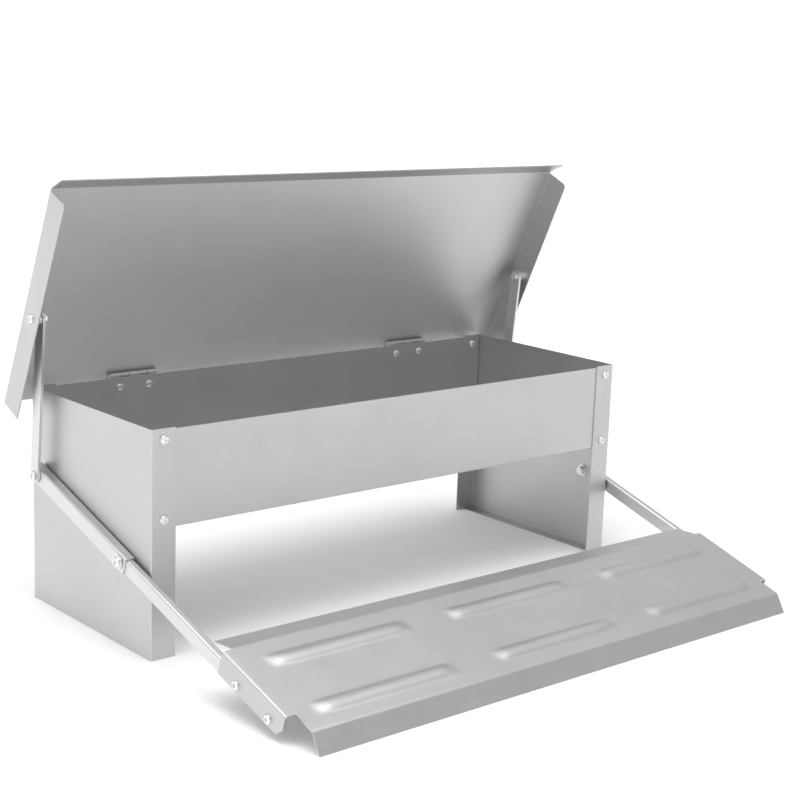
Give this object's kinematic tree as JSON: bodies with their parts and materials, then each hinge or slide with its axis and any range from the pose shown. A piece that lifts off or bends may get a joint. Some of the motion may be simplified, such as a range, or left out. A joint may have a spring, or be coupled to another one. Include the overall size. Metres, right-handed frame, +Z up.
{
  "type": "treadle poultry feeder",
  "caption": "Sheet-metal poultry feeder: a covered trough on two end panels, whose hinged lid is lifted through links by a bird's weight on a front treadle.",
  "frame": {"origin": "on the floor under the middle of the whole feeder's box, with the treadle down and the lid open", "axes": "+X along the feeder, +Y from the treadle in front to the hinges at the back, +Z up"},
  "size_m": [0.6008, 0.449, 0.3944],
  "materials": {
    "galvanised_sheet": "satin galvanised sheet",
    "bright_bar": "bright satin",
    "zinc_fasteners": "bright zinc plate"
  },
  "bodies": {
    "hopper": {"trough": "galvanised_sheet", "right_end_panel": "galvanised_sheet", "left_end_panel": "galvanised_sheet", "trough_front_screws": "zinc_fasteners", "trough_front_nuts": "zinc_fasteners", "trough_rear_screws": "zinc_fasteners", "trough_rear_nuts": "zinc_fasteners", "right_hinge_wall_leaf": "galvanised_sheet", "left_hinge_wall_leaf": "galvanised_sheet", "right_hinge_pin": "zinc_fasteners", "left_hinge_pin": "zinc_fasteners", "hinge_wall_rivets": "zinc_fasteners", "pivot_bolts": "zinc_fasteners", "pivot_washers": "zinc_fasteners", "pivot_sleeves": "zinc_fasteners", "pivot_nuts": "zinc_fasteners"},
    "lid": {"right_hinge_lid_leaf": "galvanised_sheet", "left_hinge_lid_leaf": "galvanised_sheet", "hinge_lid_rivets": "zinc_fasteners", "lid_sheet": "galvanised_sheet", "lid_link_bolts": "zinc_fasteners", "lid_link_bushes": "zinc_fasteners"},
    "treadle": {"right_front_arm": "bright_bar", "left_front_arm": "bright_bar", "right_rear_arm": "bright_bar", "left_rear_arm": "bright_bar", "treadle_plate": "galvanised_sheet", "treadle_screws": "zinc_fasteners", "treadle_nuts": "zinc_fasteners", "link_low_bolts": "zinc_fasteners", "link_low_nuts": "zinc_fasteners"},
    "right_link": {"right_link": "bright_bar", "right_link_top_nut": "zinc_fasteners"},
    "left_link": {"left_link": "bright_bar", "left_link_top_nut": "zinc_fasteners"}
  },
  "joints": [
    {"name": "treadle_pivot", "type": "hinge", "parent": "hopper", "child": "treadle", "pos_m": [0, 0.04253, 0.081], "axis": [-1, 0, 0], "range_deg": [0, 27.42]},
    {"name": "lid_hinge", "type": "hinge", "parent": "hopper", "child": "lid", "pos_m": [0, 0.21353, 0.2005], "axis": [1, 0, 0], "range_deg": [0, 66]},
    {"name": "right_link_pin", "type": "hinge", "parent": "treadle", "child": "right_link", "pos_m": [0.2875, 0.18399, 0.1245], "axis": [1, 0, 0], "range_deg": [0, 44.34]},
    {"name": "left_link_pin", "type": "hinge", "parent": "treadle", "child": "left_link", "pos_m": [-0.2875, 0.18399, 0.1245], "axis": [1, 0, 0], "range_deg": [0, 44.34]}
  ],
  "couplings": [
    {"joint": "lid_hinge", "follows": "treadle_pivot", "ratio": 2.4066},
    {"joint": "right_link_pin", "follows": "treadle_pivot", "ratio": 1.6166},
    {"joint": "left_link_pin", "follows": "treadle_pivot", "ratio": 1.6166}
  ]
}
